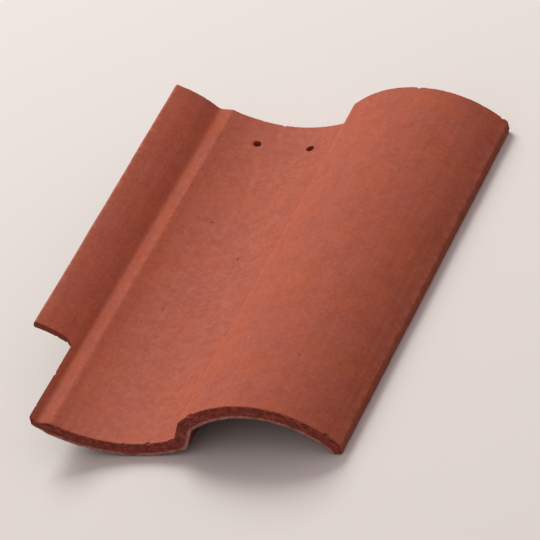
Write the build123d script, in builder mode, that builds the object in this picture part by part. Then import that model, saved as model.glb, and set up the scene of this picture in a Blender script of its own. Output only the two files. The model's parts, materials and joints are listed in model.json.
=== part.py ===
from build123d import *
import os
from math import asin, atan2, cos, degrees, radians, sin, sqrt

# One-piece clay S roof tile: pan, riser, roll and side lip are a single pressed, fired wall.
# The sizes are those of the tile as laid: X across the roof with the lip on the left, Y up
# the slope from the butt to the head, Z away from the roof. X = 0 is the edge of the roll
# that covers the lip, and Z = 0 is the foot of the riser. The finished tile is turned to lie
# on a level floor, its pan and the edge of its roll touching, and is centred over its
# footprint.

# Overall sizes
tile_length = 337.0  # butt to head
cover_width = 210.0  # from one tile to the next, across the roof
side_lap = 38.0  # lip that goes under the next roll
head_lap = 77.0  # length that the row above covers
wall = 11.0  # pan, riser and roll

# Roll and riser, on the face that the weather sees
roll_width = 113.5  # shoulder to edge
roll_radius = 83.0
roll_edge_height = 11.2
roll_edge_face = 8.5  # upright face that ends the roll, down to its flat sole
riser_run = 6.2
riser_height = 15.4

# Pan, and the ledge beside it that the next roll rests over
pan_depth = 9.7  # below the line from the ledge to the foot of the riser
ledge_in_pan = 2.3  # width of ledge that the roll leaves uncovered

# Side lip and its notch
lip_wall = 5.5
lip_clearance = 1.0  # between the lip and the roll that covers it
lip_at_butt = 4.5  # width of lip, past the ledge, that the notch leaves at the butt

# Nail holes, in the pan near the head
nail_hole = 6.0
nail_spacing = 40.0
nail_from_head = 25.0

# Rounds
valley_round = 4.0
shoulder_round = 2.5
armpit_round = 6.0
heel_round = 9.0
roll_edge_round = 1.8
ledge_round = 4.0
web_round = 3.0
lip_tip_round = 1.8
notch_round = 6.0
end_round = 1.0


def axis_on_right(start, end, radius):
    """Axis of an arc, to the right of the way from start to end."""
    half = (end - start) / 2
    right = Vector(half.Y, -half.X).normalized()
    return start + half + right * sqrt(radius**2 - half.length**2)


def way_out(start, direction, axis, radius):
    """Point where a line that starts inside a circle leaves it."""
    offset = start - axis
    near = offset.dot(direction)
    return start + direction * (sqrt(radius**2 - offset.dot(offset) + near**2) - near)


def on_radius(point, axis, radius):
    """The point moved along its own radius onto a concentric circle."""
    return axis + (point - axis).normalized() * radius


def arc_about(axis, start, end):
    """Short arc from start to end about an axis."""
    middle = axis + ((start - axis) + (end - axis)).normalized() * (start - axis).length
    return ThreePointArc(start, middle, end)


# Roll, from its edge to the shoulder
roll_edge = Vector(cover_width, roll_edge_height)
shoulder = Vector(cover_width - roll_width, riser_height)
roll_axis = axis_on_right(shoulder, roll_edge, roll_radius)
roll_back_radius = roll_radius - wall
sole_height = roll_edge_height - roll_edge_face
sole_edge = Vector(cover_width, sole_height)
sole_heel = way_out(
    Vector(roll_axis.X, sole_height), Vector(1, 0), roll_axis, roll_back_radius
)

# Side lip, shaped to lie just under the roll of the next tile
lip_axis = roll_axis - Vector(cover_width, 0)
lip_radius = roll_back_radius - lip_clearance
lip_back_radius = lip_radius - lip_wall
ledge_height = sole_height - lip_clearance
ledge_end = way_out(Vector(lip_axis.X, ledge_height), Vector(1, 0), lip_axis, lip_radius)
lip_tip = way_out(Vector(-side_lap, lip_axis.Y), Vector(0, 1), lip_axis, lip_radius)
lip_root_back = on_radius(ledge_end, lip_axis, lip_back_radius)
lip_tip_back = on_radius(lip_tip, lip_axis, lip_back_radius)

# Pan, hollow between the ledge and the foot of the riser
ledge_start = Vector(ledge_in_pan, ledge_height)
riser_foot = shoulder - Vector(riser_run, riser_height)
half_chord = (riser_foot - ledge_start).length / 2
pan_radius = (half_chord**2 + pan_depth**2) / (2 * pan_depth)
pan_axis = axis_on_right(riser_foot, ledge_start, pan_radius)
pan_back_radius = pan_radius + wall
pan_start_back = on_radius(ledge_start, pan_axis, pan_back_radius)

# Back of the riser, one wall behind its face
riser_way = (shoulder - riser_foot).normalized()
riser_back = (shoulder + riser_foot) / 2 + Vector(riser_way.Y, -riser_way.X) * wall
heel = way_out(riser_back, -riser_way, pan_axis, pan_back_radius)
armpit = way_out(riser_back, riser_way, roll_axis, roll_back_radius)

corner_rounds = [
    (roll_edge, roll_edge_round),
    (shoulder, shoulder_round),
    (riser_foot, valley_round),
    (ledge_start, ledge_round),
    (ledge_end, ledge_round),
    (lip_tip, lip_tip_round),
    (lip_tip_back, lip_tip_round),
    (lip_root_back, web_round),
    (pan_start_back, web_round),
    (heel, heel_round),
    (armpit, armpit_round),
    (sole_heel, roll_edge_round),
    (sole_edge, roll_edge_round),
]

# Section of the tile as laid
with BuildSketch() as section:
    with BuildLine():
        arc_about(roll_axis, roll_edge, shoulder)
        Line(shoulder, riser_foot)
        arc_about(pan_axis, riser_foot, ledge_start)
        Line(ledge_start, ledge_end)
        arc_about(lip_axis, ledge_end, lip_tip)
        Line(lip_tip, lip_tip_back)
        arc_about(lip_axis, lip_tip_back, lip_root_back)
        Line(lip_root_back, pan_start_back)
        arc_about(pan_axis, pan_start_back, heel)
        Line(heel, armpit)
        arc_about(roll_axis, armpit, sole_heel)
        Line(sole_heel, sole_edge)
        Line(sole_edge, roll_edge)
    make_face()
    for corner, radius in corner_rounds:
        fillet(section.vertices().sort_by_distance(corner)[0], radius)

# Unheld, the tile tips until the back of the pan and the rounded edge of the roll's sole both
# touch the floor, which is then the common tangent of two circles.
sole_round_axis = sole_edge + Vector(-roll_edge_round, roll_edge_round)
between = sole_round_axis - pan_axis
tangent_slope = degrees(asin((pan_back_radius - roll_edge_round) / between.length))
rest_tilt = tangent_slope - degrees(atan2(-between.Y, between.X))
lying_box = section.sketch.rotate(Axis.Z, -rest_tilt).bounding_box()
tilt = radians(rest_tilt)
tile_across = Vector(cos(tilt), 0, -sin(tilt))
tile_out = Vector(sin(tilt), 0, cos(tilt))
tile_origin = Vector(-lying_box.center().X, -tile_length / 2, -lying_box.min.Y)
tile_plane = Plane(tile_origin, x_dir=tile_across, z_dir=tile_out)
butt_plane = Plane(tile_origin, x_dir=tile_across, z_dir=(0, -1, 0))

with BuildPart() as s_tile:
    # The wall, from the butt to the head
    with BuildSketch(butt_plane):
        add(section.sketch)
    extrude(amount=-tile_length)

    # Softened arrises at both cut ends
    ends = s_tile.faces().sort_by(Axis.Y)
    fillet(ends[0].edges() + ends[-1].edges(), end_round)

    # Notch in the lip, as long as the head lap of the row below
    with BuildSketch(tile_plane) as notch:
        with Locations((ledge_end.X - lip_at_butt, head_lap)):
            Rectangle(side_lap, 2 * head_lap, align=(Align.MAX, Align.MAX))
        fillet(notch.vertices().sort_by(Axis.X)[-2:].sort_by(Axis.Y)[-1], notch_round)
    extrude(amount=roll_radius, both=True, mode=Mode.SUBTRACT)

    # Nail holes, square to the tile
    with Locations(tile_plane):
        with Locations((pan_axis.X, tile_length - nail_from_head)):
            with GridLocations(nail_spacing, 0, 2, 1):
                Hole(nail_hole / 2, depth=2 * wall)

s_tile.part.label = "s_tile"
os.makedirs("parts", exist_ok=True)
export_step(s_tile.part, "parts/s_tile.step")
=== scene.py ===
"""The looks of one fired clay S tile, lying on a pale studio floor.

The tile is made afresh round the section of its CAD node. It is swept from butt to head, worn at
both ends and pressed back a little from the CAD faces by the relief of drawn and wire-cut clay.
Then it is notched, punched and chipped. Lengths are in metres, and MM turns millimetres into them.
"""

import json
import math
from typing import NamedTuple

import bmesh
import bpy
import numpy as np
from mathutils import Matrix, Vector

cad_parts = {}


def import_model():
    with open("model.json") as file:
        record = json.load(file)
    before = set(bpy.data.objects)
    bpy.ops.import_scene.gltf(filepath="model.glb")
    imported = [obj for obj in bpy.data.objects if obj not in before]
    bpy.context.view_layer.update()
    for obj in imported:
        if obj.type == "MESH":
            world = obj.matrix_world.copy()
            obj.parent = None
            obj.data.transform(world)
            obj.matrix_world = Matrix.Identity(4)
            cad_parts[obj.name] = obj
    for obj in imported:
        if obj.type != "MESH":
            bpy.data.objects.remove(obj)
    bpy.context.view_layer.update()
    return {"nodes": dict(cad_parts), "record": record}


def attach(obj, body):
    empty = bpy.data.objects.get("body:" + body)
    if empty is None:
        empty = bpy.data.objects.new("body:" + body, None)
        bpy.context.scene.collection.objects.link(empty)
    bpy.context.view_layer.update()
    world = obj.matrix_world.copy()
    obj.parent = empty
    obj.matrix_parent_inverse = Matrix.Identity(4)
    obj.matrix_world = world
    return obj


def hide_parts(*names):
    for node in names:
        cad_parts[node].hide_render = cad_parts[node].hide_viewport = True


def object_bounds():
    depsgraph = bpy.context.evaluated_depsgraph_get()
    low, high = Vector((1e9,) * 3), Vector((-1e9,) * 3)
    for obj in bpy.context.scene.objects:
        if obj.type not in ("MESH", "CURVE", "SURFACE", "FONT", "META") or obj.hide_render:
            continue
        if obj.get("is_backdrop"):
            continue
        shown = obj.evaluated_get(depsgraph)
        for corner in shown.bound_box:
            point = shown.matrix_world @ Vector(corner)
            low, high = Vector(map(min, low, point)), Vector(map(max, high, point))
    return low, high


class Noise(NamedTuple):
    """A cloudy noise from 0 to 1, and the values of it between which patches come up."""

    size: float  # of its clouds
    detail: float = 3.0  # how often finer clouds are added, each half as large
    roughness: float = 0.6  # how strong the finer clouds are
    stretch: float = 1.0  # how many times longer the clouds are along the tile
    start: float = 0.0
    full: float = 1.0


class Coat(NamedTuple):
    """A colour of the clay, and the values of a noise or a distance between which it comes up."""

    colour: tuple
    start: float
    full: float
    share: float = 1.0  # of the colour, where it is full


MM = 0.001

# Camera, in the tile's own ways: across to the roll, along to the head, out of the face
SEEN_RIGHT = (0.918, 0.352, -0.184)
SEEN_UP = (-0.090, 0.634, 0.768)
LENS = 333.0  # mm, on Blender's 36 mm sensor
CAMERA_DISTANCE = 3.35
AIM_SHIFT = (0.010, -0.006)  # right and up in the picture

# Key light, from the lip side and the head, and the soft light of the room
KEY_WAY = (-0.564, 0.603, 0.564)
KEY_DISTANCE = 5.0
KEY_SIZE = 2.6
KEY_LEVEL = 0.83
KEY_TINT = (1.0, 0.975, 0.93)
ROOM_LEVEL = 0.47
ROOM_TINT = (1.0, 0.85, 0.84)

# Studio floor
FLOOR_REACH = 30.0
FLOOR_CORNERS = ((-1, -1), (1, -1), (1, 1), (-1, 1))
FLOOR_SEEN = (0.82, 0.81, 0.79)
FLOOR_BOUNCE = (0.10, 0.09, 0.085)

# Section, as a loop of points round the wall and a grid across it
TOUCHING = 0.001 * MM  # points this near are one
CLOSEST_CORNERS = 0.05 * MM  # of two corners nearer than this, one is left out
FLATTEST_TURN = math.radians(0.4)  # a corner that turns less is left out
EQUAL_FACETS = 0.02  # share by which two facets of one arc may differ in length
SECTION_STEP = 0.9 * MM  # longest step round the loop
SECTION_TURN = math.radians(9)  # largest turn in one step
ARRIS_RADIUS = 2.0 * MM  # a round this tight counts as a full arris
ARRIS_REACH = 4  # points to each side of an arris that it rubs off on
LIP_TIP_WAY = (-1, -1)  # the back of the lip's tip is furthest out this way
ROLL_EDGE_WAY = (1, -1)  # and the foot of the roll's edge this way
WALL_LAYERS = 6
HALFWAY = 0.5  # from the weather face to the back, from no to yes, and in a noise

# Sweep and cuts
ROWS = 100
ROW_CROWDING = 2.2  # towards both ends, where 1 would space them evenly
CORNER_ANGLE = math.radians(60)  # an edge of the plain shell sharper than this is an arris
SHARP_ANGLE = math.radians(38)  # an edge sharper than this isn't shaded softly
NEAR_END = 0.01 * MM  # a point this near the butt lies on it
CUTTER_REACH = 100 * MM  # enough to clear the wall on both sides
NOTCH_ROUND = 6.0 * MM
NOTCH_STEPS = 10  # round each corner
HOLE_COUNT = 2
HOLE_SIDES = 40

# Wear of both ends, which is uneven, and more on the back
END_ROUND = 1.0 * MM
BACK_WEAR = 0.8 * MM
WEAR = Noise(4 * MM)
LEAST_WORN = 0.7  # of the end round
MOST_WORN = 1.6
ARRIS_EASE = 0.55  # share of the wear that a full arris goes without
FACING_END = 0.75  # a face whose normal points this far along the tile is a cut one

# Relief pressed into the faces
DRAG_DEPTH = 0.12 * MM
BACK_DRAG_DEPTH = 0.25 * MM
DRAG = Noise(5 * MM, stretch=50.0, start=0.35, full=0.70)
SWELL_DEPTH = 0.25 * MM
SWELLS = Noise(60 * MM, detail=2.0, roughness=0.5, start=0.38, full=0.65)
TORN_DEPTH = 0.55 * MM
TORN = Noise(2.6 * MM, roughness=0.65, start=0.62, full=0.30)
TEAR_SQUEEZE = 0.6  # of the way along the wall, so that tears come out longer than deep
WALL_MM = 11  # how thick the wall is

# Chips along the arrises and pocks in the weather face, bitten by knobbly lumps
ARRIS_ANGLE = math.radians(65)  # an edge of the punched tile sharper than this is an arris too
CHIP_SPACING = 2.5 * MM
CHIP_SHARE = 0.16  # of the places along an arris
BACK_SPARED = 0.85  # share of the chips that the back goes without
CHIP_SMALLEST = 0.6 * MM
CHIP_LARGEST = 2.8 * MM
CHIP_BIAS = 4.0  # the higher, the more of them are small
CHIP_SUNK = 0.42  # share of its radius that a lump bites in
POCK_DENSITY = 150.0  # a square metre
POCK_RADIUS = 1.7 * MM
POCK_SMALLEST = 0.4  # of that radius
POCK_SUNK = 0.20
LUMP = Noise(0.9, detail=2.0)  # in radii of the lump
LUMP_SWELL = 0.7
LUMP_DETAIL = 3
SEED = 11
STREAMS = {"spared": 1.0, "chip size": 2.0, "turn": 3.0, "pock size": 4.0}
FULL_TURNS = (math.tau, math.tau, math.tau)

# Clay colours
CLAY_ROSE = (0.435, 0.106, 0.064)
CLAY_ORANGE = (0.470, 0.107, 0.049)
CLAY_RED = (0.410, 0.088, 0.046)
CLAY_DUST = (0.535, 0.183, 0.127)
CLAY_DARK = (0.180, 0.042, 0.028)
CLAY_SPECK = (0.640, 0.330, 0.250)
CLAY_RUBBED = (0.600, 0.200, 0.125)
CLAY_CUT = (0.270, 0.046, 0.028)
# painted light on the ridges of the torn cut face
CLAY_CUT_PAINTED_LIT = (0.580, 0.145, 0.095)
# plum: partly the clay's own tone, partly a painted cool tint of shade
CLAY_CUT_PLUM_AND_SHADE_TINT = (0.400, 0.083, 0.064)
# pale back edge of the cut: partly wear, partly painted light bounced up from below
CLAY_CUT_EDGE_WORN_AND_LIT = (0.730, 0.375, 0.310)
# fresh clay, darkened partly as painted shade in the nicks
CLAY_BROKEN_WITH_PAINTED_SHADE = (0.290, 0.068, 0.040)
CLAY_BROKEN_LIT = (0.410, 0.112, 0.066)

# Pressed clay, from its clouds to its grain
CLOUDS = Noise(32 * MM, roughness=0.5)
ORANGE_CLOUDS = Coat(CLAY_ORANGE, start=0.36, full=0.64)
BLOTCHES = Noise(9 * MM)
RED_BLOTCHES = Coat(CLAY_RED, start=0.40, full=0.70, share=0.80)
MOTTLES = Noise(14 * MM, detail=4.0, roughness=0.7)
DARK_MOTTLES = Coat(CLAY_DARK, start=0.56, full=0.38, share=0.10)
STREAKS = Noise(5 * MM, stretch=20.0)
PALE_STREAKS = Coat(CLAY_DUST, start=0.50, full=0.75, share=0.14)
SAND = Noise(2.4 * MM, detail=2.0, roughness=0.7)
PALE_SAND = Coat(CLAY_DUST, start=0.52, full=0.72, share=0.30)
DARK_SAND = Coat(CLAY_DARK, start=0.46, full=0.28, share=0.26)
GRAIN = Noise(0.9 * MM, roughness=0.7)
PALE_GRAIN = Coat(CLAY_DUST, start=0.50, full=0.78, share=0.30)
DARK_GRAIN = Coat(CLAY_DARK, start=0.44, full=0.26, share=0.28)

# Dust low in the pan, specks, rubbed arrises and the back
PAN_DUST = Coat(CLAY_DUST, start=18 * MM, full=6 * MM)
DUST = Noise(5 * MM, roughness=0.65, start=0.35, full=0.75)
DUST_LEAST = 0.10
DUST_MOST = 0.55
SPECK_SPACING = 16 * MM
SPECK_SPARED = 0.55  # share of the places that have no speck
PALE_SPECKS = Coat(CLAY_SPECK, start=0.055, full=0.030, share=0.40)
RUB = Noise(6 * MM, start=0.38, full=0.66)
RUB_SHARE = 0.40
BACK_START = 0.4  # of the way through the wall
BACK_FULL = 0.6
BACK_DARKENED = 0.25

# Cut clay, torn along the wall, with painted light and painted shade on its tears
TEARS = Noise(2.6 * MM, detail=4.0, roughness=0.7)
PAINTED_LIT_TEARS = Coat(CLAY_CUT_PAINTED_LIT, start=0.40, full=0.62)
# painted shade patches on the cut face
PAINTED_SHADE_CLOUDS = Noise(4.5 * MM, detail=2.0)
PAINTED_SHADE_PATCHES = Coat(CLAY_DARK, start=0.48, full=0.34, share=0.65)
# plum patches: partly the clay's own tone, partly a painted cool tint of shade, more towards the
# back edge
PLUM = Noise(7 * MM)
PLUM_AND_SHADE_TINT_PATCHES = Coat(CLAY_CUT_PLUM_AND_SHADE_TINT, start=0.50, full=0.75, share=0.70)
PLUM_AT_BACK = 0.25  # how much nearer to plum the back edge is
CUT_GRAIN = Noise(0.8 * MM, roughness=0.7)
DARK_CUT_GRAIN = Coat(CLAY_DARK, start=0.45, full=0.28, share=0.50)
# the pale back edge is partly real wear and partly painted bounce light from below
PALE_EDGE_WORN_AND_LIT = Coat(CLAY_CUT_EDGE_WORN_AND_LIT, start=0.75, full=0.92)
EDGE_RAGS = Noise(3.5 * MM)
EDGE_RAGGED = 0.22
EDGE_PATCHES = Noise(6 * MM, start=0.34, full=0.60)
EDGE_LEAST = 0.30

# Clay freshly broken, its colour darkened partly as painted shade in the chips
BROKEN_GRAIN = Noise(1.1 * MM, detail=4.0, roughness=0.7)
LIT_BROKEN_GRAIN = Coat(CLAY_BROKEN_LIT, start=0.35, full=0.70)

# Gloss and fine bumps
SPECULAR = 0.3
PRESSED_ROUGHNESS = 0.9
RUBBED_SMOOTHER = 0.12
OPEN_ROUGHNESS = 0.95
PRESSED_BUMPS = 0.09 * MM
CUT_BUMPS = 0.35 * MM
BROKEN_BUMPS = 0.25 * MM
SAND_BUMPS = 0.8  # beside the grain's
STREAK_BUMPS = 0.3
CUT_GRAIN_BUMPS = 0.6  # beside the tears'


def operator(operation, swapped=False):
    """A method that puts a wire and another value through a Math node."""

    def act(wire, other):
        return wire.tree.math(operation, *((other, wire) if swapped else (wire, other)))

    return act


class Wire:
    """What one output of a node gives. Arithmetic on it adds Math nodes."""

    def __init__(self, tree, socket):
        self.tree = tree
        self.socket = socket

    __add__ = operator("ADD")
    __radd__ = operator("ADD", swapped=True)
    __sub__ = operator("SUBTRACT")
    __rsub__ = operator("SUBTRACT", swapped=True)
    __mul__ = operator("MULTIPLY")
    __rmul__ = operator("MULTIPLY", swapped=True)
    __pow__ = operator("POWER")
    __gt__ = operator("GREATER_THAN")
    __lt__ = operator("LESS_THAN")

    def __neg__(self):
        return self * -1.0

    def __abs__(self):
        return self.tree.math("ABSOLUTE", self)


def pick(sockets, key):
    """A socket by its place, its identifier or its name."""
    found = [socket for socket in sockets if socket.identifier == key]
    return found[0] if found else sockets[key]


class Tree:
    """A node tree in the making, of a material, of the room's light or of Geometry Nodes."""

    def __init__(self, data):
        self.data = data

    def feed(self, socket, value):
        """Sets a socket's value, or runs one or several wires to it."""
        for item in value if isinstance(value, list) else [value]:
            if isinstance(item, Wire):
                self.data.links.new(item.socket, socket)
            elif socket.type == "RGBA":
                socket.default_value = (*item, 1.0)
            else:
                socket.default_value = item

    def node(self, kind, settings=None, inputs=None, output=0):
        """Adds a node with its settings, then feeds its inputs, and gives one of its outputs."""
        node = self.data.nodes.new(kind)
        for name, value in (settings or {}).items():
            setattr(node, name, value)
        for key, value in (inputs or {}).items():
            self.feed(pick(node.inputs, key), value)
        return Wire(self, pick(node.outputs, output)) if node.outputs else None

    def math(self, operation, *values):
        return self.node("ShaderNodeMath", {"operation": operation}, dict(enumerate(values)))

    def vector(self, operation, *values, output=0):
        inputs = dict(enumerate(values))
        return self.node("ShaderNodeVectorMath", {"operation": operation}, inputs, output)

    def scaled(self, vector, amount):
        inputs = {0: vector, "Scale": amount}
        return self.node("ShaderNodeVectorMath", {"operation": "SCALE"}, inputs)

    def part(self, vector, axis):
        """One of a vector's three numbers."""
        return self.node("ShaderNodeSeparateXYZ", {}, {"Vector": vector}, axis)

    def joined(self, x=0.0, y=0.0, z=0.0):
        """A vector of three numbers."""
        return self.node("ShaderNodeCombineXYZ", {}, {"X": x, "Y": y, "Z": z})

    def mixed(self, share, low, high):
        """The number that lies this share of the way from low to high."""
        return low + (high - low) * share

    def ramp(self, value, start, full, low=0.0, high=1.0):
        """A number eased from low, where the value is at start, to high, where it is at full."""
        inputs = {"Value": value, "From Min": start, "From Max": full, "To Min": low, "To Max": high}
        return self.node("ShaderNodeMapRange", {"interpolation_type": "SMOOTHSTEP"}, inputs)

    def noise(self, point, kind):
        """A noise of this kind at a point."""
        if kind.stretch != 1.0:
            point = self.vector("MULTIPLY", point, (1.0, 1 / kind.stretch, 1.0))
        inputs = {
            "Vector": point,
            "Scale": 1 / kind.size,
            "Detail": kind.detail,
            "Roughness": kind.roughness,
        }
        return self.node("ShaderNodeTexNoise", {}, inputs, "Fac")

    def patches(self, point, kind, low=0.0, high=1.0):
        """A noise of this kind, eased into patches."""
        return self.ramp(self.noise(point, kind), kind.start, kind.full, low, high)

    def tint(self, share, under, over):
        """A share of one colour laid over another."""
        inputs = {"Factor_Float": share, "A_Color": under, "B_Color": over}
        return self.node("ShaderNodeMix", {"data_type": "RGBA"}, inputs, "Result_Color")


def emptied(owner):
    """The node tree of a new material or world, with nothing in it yet."""
    owner.use_nodes = True
    owner.node_tree.nodes.clear()
    return owner.node_tree


def placed(name, data):
    """An object in the scene that shows this data."""
    thing = bpy.data.objects.new(name, data)
    bpy.context.scene.collection.objects.link(thing)
    return thing


def nail_mounts(record):
    return [mount for mount in record["mounts"] if mount["name"].startswith("nail_hole")]


def tile_ways(record):
    """Across, along and out of the tile's face, from the way its nail holes point."""
    out = Vector(nail_mounts(record)[0]["axis"])
    return Vector((out.z, 0, -out.x)), Vector((0, 1, 0)), out


def in_room(ways, parts):
    """A way given in the tile's own ways, turned into the room's."""
    return sum((way * part for way, part in zip(ways, parts)), Vector()).normalized()


def turns(loop):
    """The signed angle that a loop turns through at each of its corners."""
    before, after = loop - np.roll(loop, 1, 0), np.roll(loop, -1, 0) - loop
    cross = before[:, 0] * after[:, 1] - before[:, 1] * after[:, 0]
    return np.arctan2(cross, (before * after).sum(1))


def section_corners(node):
    """The corners of the facets round the tile's section at mid length, clockwise from the butt."""
    shell = bmesh.new()
    shell.from_mesh(node.data)
    bmesh.ops.remove_doubles(shell, verts=shell.verts, dist=TOUCHING)
    everything = shell.verts[:] + shell.edges[:] + shell.faces[:]
    cut = bmesh.ops.bisect_plane(shell, geom=everything, plane_co=(0, 0, 0), plane_no=(0, 1, 0))
    edges = [part for part in cut["geom_cut"] if isinstance(part, bmesh.types.BMEdge)]
    corner = edges[0].verts[0]
    loop = []
    while edges:
        loop.append((corner.co.x, corner.co.z))
        edge = next(edge for edge in corner.link_edges if edge in edges)
        edges.remove(edge)
        corner = edge.other_vert(corner)
    shell.free()
    loop = np.array(loop)
    loop = loop[np.linalg.norm(loop - np.roll(loop, 1, 0), axis=1) > CLOSEST_CORNERS]
    loop = loop[np.abs(turns(loop)) > FLATTEST_TURN]
    return loop if turns(loop).sum() < 0 else loop[::-1]


def facet_turns(loop):
    """How far the true wall turns along each facet, and the facets' lengths.

    Facets of one arc are equally long, and turn as much as at the corners between them. A facet
    with no such corner is flat.
    """
    turn = turns(loop)
    length = np.linalg.norm(np.roll(loop, -1, 0) - loop, axis=1)
    in_arc = np.abs(length / np.roll(length, 1) - 1) < EQUAL_FACETS
    turn_after, in_arc_after = np.roll(turn, -1), np.roll(in_arc, -1)
    return np.where(in_arc, turn, np.where(in_arc_after, turn_after, 0.0)), length


def section_loop(node):
    """Points, outward ways and arrises round the section, with its arcs restored.

    The loop starts at the back of the lip's tip and runs over the weather face first.
    """
    corners = section_corners(node)
    facet_turn, facet_length = facet_turns(corners)
    chords = np.roll(corners, -1, 0) - corners
    headings = np.arctan2(chords[:, 1], chords[:, 0])
    points, ways, bends = [], [], []
    for place, heading, length, turn in zip(corners, headings, facet_length, facet_turn):
        steps = math.ceil(max(length / SECTION_STEP, abs(turn) / SECTION_TURN))
        stride = length / steps
        if turn:
            stride = length * math.sin(turn / steps / 2) / math.sin(turn / 2)
        for step in range(steps):
            way = heading - turn / 2 + turn * step / steps
            points.append(place)
            ways.append((-math.sin(way), math.cos(way)))
            bends.append(-turn / length)
            way += turn / steps / 2
            place = place + stride * np.array((math.cos(way), math.sin(way)))
    points = np.array(points)
    tip = (points @ LIP_TIP_WAY).argmax()
    rub = np.clip(np.array(bends) * ARRIS_RADIUS, 0, 1)
    reach = range(-ARRIS_REACH, ARRIS_REACH + 1)
    rub = sum(np.roll(rub, shift) for shift in reach) / ARRIS_REACH
    return (np.roll(part, -tip, 0) for part in (points, np.array(ways), np.clip(rub, 0, 1)))


def rungs(points):
    """Pairs of facing points that ladder the wall from the lip's tip to the roll's edge.

    The number of the point at that edge comes with them.
    """
    edge = (points @ ROLL_EDGE_WAY).argmax()
    face, back = 1, len(points) - 1
    pairs = [(0, 0), (face, back)]
    while (face, back) != (edge - 1, edge + 1):
        ahead = np.linalg.norm(points[face + 1] - points[back])
        behind = np.linalg.norm(points[face] - points[back - 1])
        if back == edge + 1 or (face < edge - 1 and ahead <= behind):
            face += 1
        else:
            back -= 1
        pairs.append((face, back))
    return pairs + [(edge, edge)], edge


def wall_rows(node):
    """A row of numbers for each point round the section, and the pairs that ladder the wall.

    A row holds the point's place, its outward way, how much of an arris it is, how far through
    the wall it lies and how far along the wall.
    """
    points, outward, arris = section_loop(node)
    pairs, edge = rungs(points)
    middles = np.array([(points[face] + points[back]) / 2 for face, back in pairs])
    along = np.cumsum(np.linalg.norm(np.diff(middles, axis=0, prepend=middles[:1]), axis=1))
    run = np.zeros(len(points))
    for (face, back), length in zip(pairs, along):
        run[face] = run[back] = length
    order = np.arange(len(points))
    between = (order == edge) | (order == 0)
    depth = np.where(order > edge, 1.0, np.where(between, HALFWAY, 0.0))
    return list(np.column_stack([points, outward, arris, depth, run])), pairs


def wall_faces(rows, pairs):
    """Adds rows for the points inside the wall, and gives the faces of the grid across it."""
    ladder = []
    for face, back in pairs:
        first = len(rows)
        if face == back:
            ladder.append([face] * (WALL_LAYERS + 1))
            continue
        for layer in range(1, WALL_LAYERS):
            rows.append(rows[face] + (rows[back] - rows[face]) * layer / WALL_LAYERS)
        ladder.append([face, *range(first, len(rows)), back])
    faces = []
    for one, other in zip(ladder, ladder[1:]):
        for layer in range(WALL_LAYERS):
            corners = (one[layer], other[layer], other[layer + 1], one[layer + 1])
            faces.append(list(dict.fromkeys(corners)))
    return faces


def section_object(node):
    """The tile's section as a flat grid at mid length, with its rows as the points' attributes."""
    rows, pairs = wall_rows(node)
    round_it = len(rows)
    edges = [(start, (start + 1) % round_it) for start in range(round_it)]
    faces = wall_faces(rows, pairs)
    rows = np.array(rows)
    mesh = bpy.data.meshes.new("section")
    mesh.from_pydata([(x, 0.0, z) for x, z in rows[:, :2]], edges, faces)
    ways = np.insert(rows[:, 2:4], 1, 0.0, axis=1)
    mesh.attributes.new("outward", "FLOAT_VECTOR", "POINT").data.foreach_set("vector", ways.ravel())
    for name, values in zip(("arris", "depth", "run"), rows[:, 4:].T):
        mesh.attributes.new(name, "FLOAT", "POINT").data.foreach_set("value", values)
    return placed("s_tile_clay", mesh)


def wall_place(tree):
    """A place on a cut face, along the wall and through it, for noise that follows the wall."""
    return tree.joined(tree.read("run") * TEAR_SQUEEZE, tree.read("depth") * WALL_MM * MM)


def sweep_values(node, record, ways):
    """The sweep's named inputs, with the tile's own sizes measured on its CAD node and mounts."""
    across, along, out = ways
    places = np.array([vert.co for vert in node.data.vertices], float)
    sideways = places @ np.array(across)
    half = float(places[:, 1].max())
    lip_tip = sideways.min()
    butt_side = sideways[places[:, 1] < -half + NEAR_END].min()
    notch_head = places[sideways < lip_tip + NOTCH_ROUND, 1].min()
    left, right = (Vector(mount["pos_m"]) for mount in nail_mounts(record))
    return {
        "Half length": half,
        "Rows": ROWS,
        "Row crowding": ROW_CROWDING,
        "End round": END_ROUND,
        "Back wear": BACK_WEAR,
        "Notch middle": across * lip_tip + along * -half,
        "Notch width": float(2 * (butt_side - lip_tip)),
        "Notch length": float(2 * (notch_head + half)),
        "Notch round": NOTCH_ROUND,
        "Nail hole": left,
        "Nail step": right - left,
        "Hole radius": nail_mounts(record)[0]["dims"]["r_mm"] * MM,
        "Tilt": Vector((0.0, math.atan2(out.x, out.z), 0.0)),
        "Cutter reach": CUTTER_REACH,
        "Chip spacing": CHIP_SPACING,
        "Chip share": CHIP_SHARE,
        "Smallest chip": CHIP_SMALLEST,
        "Largest chip": CHIP_LARGEST,
        "Pock density": POCK_DENSITY,
        "Pock radius": POCK_RADIUS,
        "Drag depth": DRAG_DEPTH,
        "Back drag depth": BACK_DRAG_DEPTH,
        "Swell depth": SWELL_DEPTH,
        "Torn depth": TORN_DEPTH,
        "Sharp angle": SHARP_ANGLE,
        "Seed": SEED,
        "Pressed clay": pressed_clay(out),
        "Cut clay": cut_clay(),
        "Broken clay": broken_clay(),
    }


SOCKET_KINDS = {
    float: "NodeSocketFloat",
    int: "NodeSocketInt",
    Vector: "NodeSocketVector",
    bpy.types.Material: "NodeSocketMaterial",
}


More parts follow.
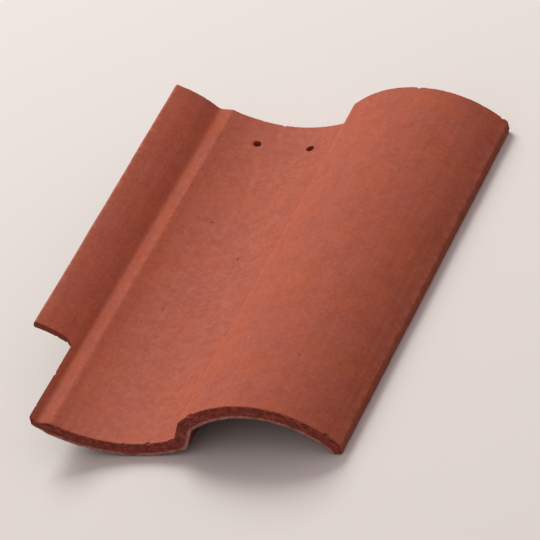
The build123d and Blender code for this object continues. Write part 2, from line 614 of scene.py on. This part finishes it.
class TileTree(Tree):
    """The Geometry Nodes that make the tile from its section."""

    def __init__(self, values):
        super().__init__(bpy.data.node_groups.new("tile_sweep", "GeometryNodeTree"))
        interface = self.data.interface
        interface.new_socket(name="Section", in_out="INPUT", socket_type="NodeSocketGeometry")
        interface.new_socket(name="Tile", in_out="OUTPUT", socket_type="NodeSocketGeometry")
        self.identifiers = {}
        for name, value in values.items():
            kind = SOCKET_KINDS[type(value)]
            socket = interface.new_socket(name=name, in_out="INPUT", socket_type=kind)
            self.identifiers[name] = socket.identifier
        tile = self.pressed(self.worn(self.shell()))
        tile = self.chipped(self.punched(self.notched(tile)))
        self.node("NodeGroupOutput", {}, {"Tile": self.finished(tile)})

    def given(self, name):
        return self.node("NodeGroupInput", {}, {}, name)

    def place(self):
        return self.node("GeometryNodeInputPosition")

    def normal(self):
        return self.node("GeometryNodeInputNormal")

    def edge_angle(self):
        return self.node("GeometryNodeInputMeshEdgeAngle")

    def read(self, name, kind="FLOAT"):
        return self.node("GeometryNodeInputNamedAttribute", {"data_type": kind}, {"Name": name})

    def outward(self):
        return self.read("outward", "FLOAT_VECTOR")

    def store(self, geometry, name, value, domain="POINT", kind="FLOAT"):
        settings = {"data_type": kind, "domain": domain}
        inputs = {"Geometry": geometry, "Name": name, "Value": value}
        return self.node("GeometryNodeStoreNamedAttribute", settings, inputs)

    def moved(self, geometry, offset):
        return self.node("GeometryNodeSetPosition", {}, {"Geometry": geometry, "Offset": offset})

    def dressed(self, geometry, finish, chosen=True):
        inputs = {"Geometry": geometry, "Selection": chosen, "Material": self.given(finish)}
        return self.node("GeometryNodeSetMaterial", {}, inputs)

    def cutter(self, geometry):
        """A cutter whose faces leave cut clay behind."""
        return self.dressed(self.store(geometry, "cut", 1.0, "FACE"), "Cut clay")

    def cut_away(self, tile, cutters):
        settings = {"operation": "DIFFERENCE", "solver": "MANIFOLD"}
        return self.node("GeometryNodeMeshBoolean", settings, {"Mesh 1": tile, "Mesh 2": cutters})

    def seeded(self, point):
        """A point carried off by the seed, to take noise from."""
        return self.vector("ADD", point, self.joined(self.given("Seed")))

    def random(self, stream, low, high, kind="FLOAT"):
        """Random numbers or vectors, from a stream of their own."""
        ending = "" if kind == "FLOAT_VECTOR" else "_001"
        seed = self.given("Seed") + STREAMS[stream]
        inputs = {"Min" + ending: low, "Max" + ending: high, "Seed": seed}
        return self.node("FunctionNodeRandomValue", {"data_type": kind}, inputs, "Value" + ending)

    def rail(self):
        """The way from butt to head, as rows that crowd towards both ends."""
        line = self.node("GeometryNodeCurvePrimitiveLine", {}, {"End": (0.0, 1.0, 0.0)})
        inputs = {"Curve": line, "Count": self.given("Rows")}
        line = self.node("GeometryNodeResampleCurve", {"mode": "COUNT"}, inputs)
        share = self.node("GeometryNodeSplineParameter", {}, {}, "Factor") * 2.0 - 1.0
        row = 1.0 - (1.0 - abs(share)) ** self.given("Row crowding")
        row = self.joined(y=self.math("SIGN", share) * row * self.given("Half length"))
        return self.node("GeometryNodeSetPosition", {}, {"Geometry": line, "Position": row})

    def outline(self):
        """The section's outline, laid flat as a profile has to be."""
        rim = self.node("GeometryNodeInputMeshEdgeNeighbors") < 2.0
        inputs = {"Mesh": self.given("Section"), "Selection": rim}
        outline = self.node("GeometryNodeMeshToCurve", {}, inputs)
        inputs = {"Geometry": outline, "Rotation": (math.pi / 2, 0.0, 0.0)}
        return self.node("GeometryNodeTransform", {}, inputs)

    def shell(self):
        """The outline swept along the rail, with the section's own grid as both end faces."""
        inputs = {"Curve": self.rail(), "Profile Curve": self.outline()}
        wall = self.node("GeometryNodeCurveToMesh", {}, inputs)
        section, half = self.given("Section"), self.given("Half length")
        head = self.moved(section, self.joined(y=half))
        butt = self.moved(section, self.joined(y=-half))
        butt = self.node("GeometryNodeFlipFaces", {}, {"Mesh": butt})
        parts = self.node("GeometryNodeJoinGeometry", {}, {"Geometry": [wall, head, butt]})
        inputs = {"Geometry": parts, "Distance": TOUCHING}
        shell = self.node("GeometryNodeMergeByDistance", {}, inputs)
        shell = self.dressed(shell, "Pressed clay")
        return self.store(shell, "corner", self.edge_angle() > CORNER_ANGLE, "EDGE")

    def worn(self, tile):
        """Both ends rounded over, unevenly, and more on the back. Their faces are marked as cut."""
        wear = self.noise(self.seeded(self.place()), WEAR)
        radius = self.given("End round") * self.mixed(wear, LEAST_WORN, MOST_WORN)
        radius = radius + self.given("Back wear") * self.read("depth") * wear
        radius = radius * (1.0 - ARRIS_EASE * self.read("arris"))
        from_end = self.given("Half length") - abs(self.part(self.place(), "Y"))
        left = self.math("MAXIMUM", radius - from_end, 0.0)
        height = self.math("SQRT", self.math("MAXIMUM", radius * radius - left * left, 0.0))
        tile = self.moved(tile, self.scaled(self.outward(), -(radius - height)))
        return self.store(tile, "cut", abs(self.part(self.normal(), "Y")) > FACING_END, "FACE")

    def pressed(self, tile):
        """Drag of the die, slow swells and the torn grain of the wire, all pressed in.

        The faces go in against their outward ways, and the cut ends straight along the tile.
        """
        point = self.seeded(self.place())
        cut = self.read("cut")
        drag_depths = self.given("Drag depth"), self.given("Back drag depth")
        drag = self.patches(point, DRAG) * self.mixed(self.read("depth"), *drag_depths)
        swell = self.patches(point, SWELLS) * self.given("Swell depth")
        torn = self.patches(self.seeded(wall_place(self)), TORN) * self.given("Torn depth")
        depth = swell + drag * (1.0 - cut) + torn * cut
        end = self.joined(y=self.math("SIGN", self.part(self.place(), "Y")) * cut)
        out = self.vector("ADD", self.scaled(self.outward(), 1.0 - cut), end)
        return self.moved(tile, self.scaled(out, -depth))

    def notched(self, tile):
        """The notch that lets four tiles meet, cut out of the lip at the butt."""
        inputs = {"Width": self.given("Notch width"), "Height": self.given("Notch length")}
        outline = self.node("GeometryNodeCurvePrimitiveQuadrilateral", {"mode": "RECTANGLE"}, inputs)
        inputs = {"Curve": outline, "Count": NOTCH_STEPS, "Radius": self.given("Notch round")}
        outline = self.node("GeometryNodeFilletCurve", {"mode": "POLY"}, inputs)
        reach = self.given("Cutter reach")
        inputs = {"Start": self.joined(z=-reach), "End": self.joined(z=reach)}
        line = self.node("GeometryNodeCurvePrimitiveLine", {}, inputs)
        inputs = {"Curve": line, "Profile Curve": outline, "Fill Caps": True}
        block = self.node("GeometryNodeCurveToMesh", {}, inputs)
        place = {"Translation": self.given("Notch middle"), "Rotation": self.given("Tilt")}
        block = self.node("GeometryNodeTransform", {}, {"Geometry": block, **place})
        return self.cut_away(tile, self.cutter(block))

    def punched(self, tile):
        """The pair of nail holes."""
        inputs = {
            "Vertices": HOLE_SIDES,
            "Radius": self.given("Hole radius"),
            "Depth": self.given("Cutter reach"),
        }
        punch = self.node("GeometryNodeMeshCylinder", {"fill_type": "NGON"}, inputs)
        inputs = {
            "Count": HOLE_COUNT,
            "Start Location": self.given("Nail hole"),
            "Offset": self.given("Nail step"),
        }
        spots = self.node("GeometryNodeMeshLine", {}, inputs)
        inputs = {"Points": spots, "Instance": self.cutter(punch), "Rotation": self.given("Tilt")}
        return self.cut_away(tile, self.node("GeometryNodeInstanceOnPoints", {}, inputs))

    def lump(self):
        """A knobbly ball one metre in radius, to bite with."""
        inputs = {"Radius": 1.0, "Subdivisions": LUMP_DETAIL}
        ball = self.node("GeometryNodeMeshIcoSphere", {}, inputs)
        swell = (self.noise(self.seeded(self.place()), LUMP) - HALFWAY) * LUMP_SWELL
        return self.dressed(self.moved(ball, self.scaled(self.place(), swell)), "Broken clay")

    def bites(self, spots, way, sunk, size):
        """Lumps at the spots, each standing out along a way so that only its edge bites in."""
        inputs = {
            "Points": self.moved(spots, self.scaled(way, size * (1.0 - sunk))),
            "Instance": self.lump(),
            "Rotation": self.random("turn", (0.0, 0.0, 0.0), FULL_TURNS, "FLOAT_VECTOR"),
            "Scale": size,
        }
        return self.node("GeometryNodeInstanceOnPoints", {}, inputs)

    def chips(self, tile):
        """Lumps spaced along the arrises, most of them small, with many left out on the back."""
        arrises = self.math("MAXIMUM", self.read("corner"), self.edge_angle() > ARRIS_ANGLE)
        arrises = self.node("GeometryNodeMeshToCurve", {}, {"Mesh": tile, "Selection": arrises})
        inputs = {"Curve": arrises, "Length": self.given("Chip spacing")}
        arrises = self.node("GeometryNodeResampleCurve", {"mode": "LENGTH"}, inputs)
        spots = self.node("GeometryNodeCurveToPoints", {"mode": "EVALUATED"}, {"Curve": arrises})
        share = self.given("Chip share") * (1.0 - BACK_SPARED * self.read("depth"))
        spared = self.random("spared", 0.0, 1.0) > share
        inputs = {"Geometry": spots, "Selection": spared}
        spots = self.node("GeometryNodeDeleteGeometry", {}, inputs)
        chance = self.random("chip size", 0.0, 1.0) ** CHIP_BIAS
        size = self.mixed(chance, self.given("Smallest chip"), self.given("Largest chip"))
        return self.bites(spots, self.read("lean", "FLOAT_VECTOR"), CHIP_SUNK, size)

    def pocks(self, tile):
        """Lumps strewn over the weather face."""
        inputs = {
            "Mesh": tile,
            "Selection": (self.read("depth") < HALFWAY) * (self.read("cut") < HALFWAY),
            "Density": self.given("Pock density"),
            "Seed": self.given("Seed"),
        }
        settings = {"distribute_method": "RANDOM"}
        spots = self.node("GeometryNodeDistributePointsOnFaces", settings, inputs)
        size = self.given("Pock radius") * self.random("pock size", POCK_SMALLEST, 1.0)
        return self.bites(spots, self.outward(), POCK_SUNK, size)

    def chipped(self, tile):
        """Small chips along the arrises, and a few pocks in the weather face."""
        lean = self.vector("NORMALIZE", self.vector("ADD", self.outward(), self.normal()))
        tile = self.store(tile, "lean", lean, "POINT", "FLOAT_VECTOR")
        return self.cut_away(tile, [self.chips(tile), self.pocks(tile)])

    def finished(self, tile):
        """Soft shading but for the sharp cuts, and the finish of the cut ends."""
        inputs = {"Geometry": tile, "Shade Smooth": True}
        tile = self.node("GeometryNodeSetShadeSmooth", {"domain": "FACE"}, inputs)
        sharp = self.edge_angle() > self.given("Sharp angle")
        inputs = {"Geometry": tile, "Selection": sharp, "Shade Smooth": False}
        tile = self.node("GeometryNodeSetShadeSmooth", {"domain": "EDGE"}, inputs)
        tile = self.node("GeometryNodeRealizeInstances", {}, {"Geometry": tile})
        return self.dressed(tile, "Cut clay", self.read("cut") > HALFWAY)


def swept_tile(node, record, ways):
    """The tile as one plain mesh, made by its Geometry Nodes from the section of its CAD node."""
    values = sweep_values(node, record, ways)
    tile = section_object(node)
    tree = TileTree(values)
    sweep = tile.modifiers.new("sweep", "NODES")
    sweep.node_group = tree.data
    for name, value in values.items():
        sweep[tree.identifiers[name]] = value
    made = tile.evaluated_get(bpy.context.evaluated_depsgraph_get())
    tile.data = bpy.data.meshes.new_from_object(made)
    tile.modifiers.clear()
    return tile


class ClayTree(Tree):
    """The nodes of one clay finish, laid on coat by coat over its ground colour."""

    def __init__(self, name, ground):
        self.material = bpy.data.materials.new(name)
        super().__init__(emptied(self.material))
        self.place = self.node("ShaderNodeTexCoord", {}, {}, "Object")
        self.colour = ground

    def read(self, name):
        return self.node("ShaderNodeAttribute", {"attribute_name": name}, {}, "Fac")

    def stain(self, colour, share):
        """Lays a share of a colour over the clay so far."""
        self.colour = self.tint(share, self.colour, colour)

    def lay(self, coat, value, where=1.0):
        """Lays a coat over the clay so far, as far as a value has come to its full."""
        self.stain(coat.colour, self.ramp(value, coat.start, coat.full) * (coat.share * where))

    def finished(self, roughness, height, relief):
        """The material, with this roughness, and bumps by a height."""
        inputs = {
            "Base Color": self.colour,
            "Roughness": roughness,
            "Specular IOR Level": SPECULAR,
            "Normal": self.node("ShaderNodeBump", {}, {"Distance": relief, "Height": height}),
        }
        shader = self.node("ShaderNodeBsdfPrincipled", {}, inputs)
        self.node("ShaderNodeOutputMaterial", {}, {"Surface": shader})
        return self.material


def pressed_clay(out):
    """Clay as it left the die: mottled red, faintly streaked along the tile and finely sanded.

    It has rosy dust low in the pan, a few specks, paler arrises and a duller back.
    """
    clay = ClayTree("pressed_clay", CLAY_ROSE)
    place = clay.place
    streak, sand, grain = (clay.noise(place, kind) for kind in (STREAKS, SAND, GRAIN))
    clay.lay(ORANGE_CLOUDS, clay.noise(place, CLOUDS))
    clay.lay(RED_BLOTCHES, clay.noise(place, BLOTCHES))
    clay.lay(DARK_MOTTLES, clay.noise(place, MOTTLES))
    clay.lay(PALE_STREAKS, streak)
    clay.lay(PALE_SAND, sand)
    clay.lay(DARK_SAND, sand)
    back = clay.ramp(clay.read("depth"), BACK_START, BACK_FULL)
    height = clay.vector("DOT_PRODUCT", place, out, output="Value")
    dusty = clay.patches(place, DUST, DUST_LEAST, DUST_MOST)
    clay.lay(PAN_DUST, height, where=(1.0 - back) * dusty)
    clay.lay(PALE_GRAIN, grain)
    clay.lay(DARK_GRAIN, grain)
    cells = {"Vector": place, "Scale": 1 / SPECK_SPACING}
    from_speck = clay.node("ShaderNodeTexVoronoi", {}, cells, "Distance")
    lot = clay.part(clay.node("ShaderNodeTexVoronoi", {}, cells, "Color"), "X")
    clay.lay(PALE_SPECKS, from_speck, where=(lot > SPECK_SPARED) * (1.0 - back))
    rub = clay.read("arris") * clay.patches(place, RUB)
    clay.stain(CLAY_RUBBED, rub * RUB_SHARE)
    clay.stain(CLAY_DARK, back * BACK_DARKENED)
    bumps = grain + sand * SAND_BUMPS + streak * STREAK_BUMPS
    return clay.finished(PRESSED_ROUGHNESS - RUBBED_SMOOTHER * rub, bumps, PRESSED_BUMPS)


def cut_clay():
    """The wire-cut faces: dark, open and torn along the wall, with painted light and painted shade
    on the tears, plum patches that are partly a painted cool tint of shade, and a pale back edge
    that is partly wear and partly painted light bounced up from below.
    """
    clay = ClayTree("cut_clay", CLAY_CUT)
    wall = wall_place(clay)
    depth = clay.read("depth")
    torn = clay.noise(wall, TEARS)
    grain = clay.noise(clay.place, CUT_GRAIN)
    # painted highlight on the tears and painted shade patches, standing in for the shading of the
    # torn relief
    clay.lay(PAINTED_LIT_TEARS, torn)
    clay.lay(PAINTED_SHADE_PATCHES, clay.noise(wall, PAINTED_SHADE_CLOUDS))
    # plum patches, partly a painted cool tint of shade
    clay.lay(PLUM_AND_SHADE_TINT_PATCHES, clay.noise(wall, PLUM) + depth * PLUM_AT_BACK)
    clay.lay(DARK_CUT_GRAIN, grain)
    ragged = (clay.noise(clay.place, EDGE_RAGS) - HALFWAY) * EDGE_RAGGED
    left = clay.patches(clay.place, EDGE_PATCHES, low=EDGE_LEAST)
    # pale back edge: partly wear, partly painted bounce light
    clay.lay(PALE_EDGE_WORN_AND_LIT, depth + ragged, where=left)
    return clay.finished(OPEN_ROUGHNESS, torn + grain * CUT_GRAIN_BUMPS, CUT_BUMPS)


def broken_clay():
    """The fresh clay inside a chip, darkened partly as painted shade."""
    clay = ClayTree("broken_clay", CLAY_BROKEN_WITH_PAINTED_SHADE)
    grain = clay.noise(clay.place, BROKEN_GRAIN)
    clay.lay(LIT_BROKEN_GRAIN, grain)
    return clay.finished(OPEN_ROUGHNESS, grain, BROKEN_BUMPS)


def camera(ways):
    """The camera at the photograph's viewing angle, aimed at the middle of the tile."""
    right = in_room(ways, SEEN_RIGHT)
    back = right.cross(in_room(ways, SEEN_UP)).normalized()
    up = back.cross(right)
    low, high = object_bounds()
    aim = (low + high) / 2 + right * AIM_SHIFT[0] + up * AIM_SHIFT[1]
    data = bpy.data.cameras.new("camera")
    data.lens = LENS
    data.clip_end = FLOOR_REACH
    seen_from = placed("camera", data)
    turned = Matrix((right, up, back)).transposed().to_4x4()
    seen_from.matrix_world = Matrix.Translation(aim + back * CAMERA_DISTANCE) @ turned
    bpy.context.scene.camera = seen_from


def key_light(ways):
    """A square soft box whose light reaches the tile at the key level."""
    way = in_room(ways, KEY_WAY)
    data = bpy.data.lights.new("key", "AREA")
    data.shape = "SQUARE"
    data.size = KEY_SIZE
    data.energy = KEY_LEVEL * math.pi**2 * KEY_DISTANCE**2
    data.color = KEY_TINT
    lamp = placed("key", data)
    lamp.location = way * KEY_DISTANCE
    lamp.rotation_euler = way.to_track_quat("Z", "Y").to_euler()


def seen_share(tree):
    """1 for what the camera sees straight, in gloss or through glass, and else 0."""
    rays = ("Is Camera Ray", "Is Glossy Ray", "Is Transmission Ray")
    straight, glossy, through = (tree.node("ShaderNodeLightPath", {}, {}, ray) for ray in rays)
    return tree.math("MAXIMUM", straight, tree.math("MAXIMUM", glossy, through))


def room_light():
    """Even light from all round, pale where the camera sees it."""
    world = bpy.data.worlds.new("room")
    tree = Tree(emptied(world))
    lit = tree.node("ShaderNodeBackground", {}, {"Color": ROOM_TINT, "Strength": ROOM_LEVEL})
    pale = tree.node("ShaderNodeBackground", {}, {"Color": FLOOR_SEEN})
    shown = tree.node("ShaderNodeMixShader", {}, {0: seen_share(tree), 1: lit, 2: pale})
    tree.node("ShaderNodeOutputWorld", {}, {"Surface": shown})
    bpy.context.scene.world = world


def studio_floor():
    """A wide pale floor that lends the tile little light from below."""
    finish = bpy.data.materials.new("floor")
    tree = Tree(emptied(finish))
    seen = tree.node("ShaderNodeBsdfDiffuse", {}, {"Color": FLOOR_SEEN})
    bounced = tree.node("ShaderNodeBsdfDiffuse", {}, {"Color": FLOOR_BOUNCE})
    shown = tree.node("ShaderNodeMixShader", {}, {0: seen_share(tree), 1: bounced, 2: seen})
    tree.node("ShaderNodeOutputMaterial", {}, {"Surface": shown})
    mesh = bpy.data.meshes.new("floor")
    corners = [(x * FLOOR_REACH, y * FLOOR_REACH, 0) for x, y in FLOOR_CORNERS]
    mesh.from_pydata(corners, [], [(0, 1, 2, 3)])
    mesh.materials.append(finish)
    placed("floor", mesh)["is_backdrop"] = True


def main():
    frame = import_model()
    ways = tile_ways(frame["record"])
    tile = swept_tile(frame["nodes"]["s_tile"], frame["record"], ways)
    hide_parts("s_tile")
    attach(tile, "root")

    bpy.context.scene.view_settings.view_transform = "Standard"
    studio_floor()
    room_light()
    key_light(ways)
    camera(ways)


main()
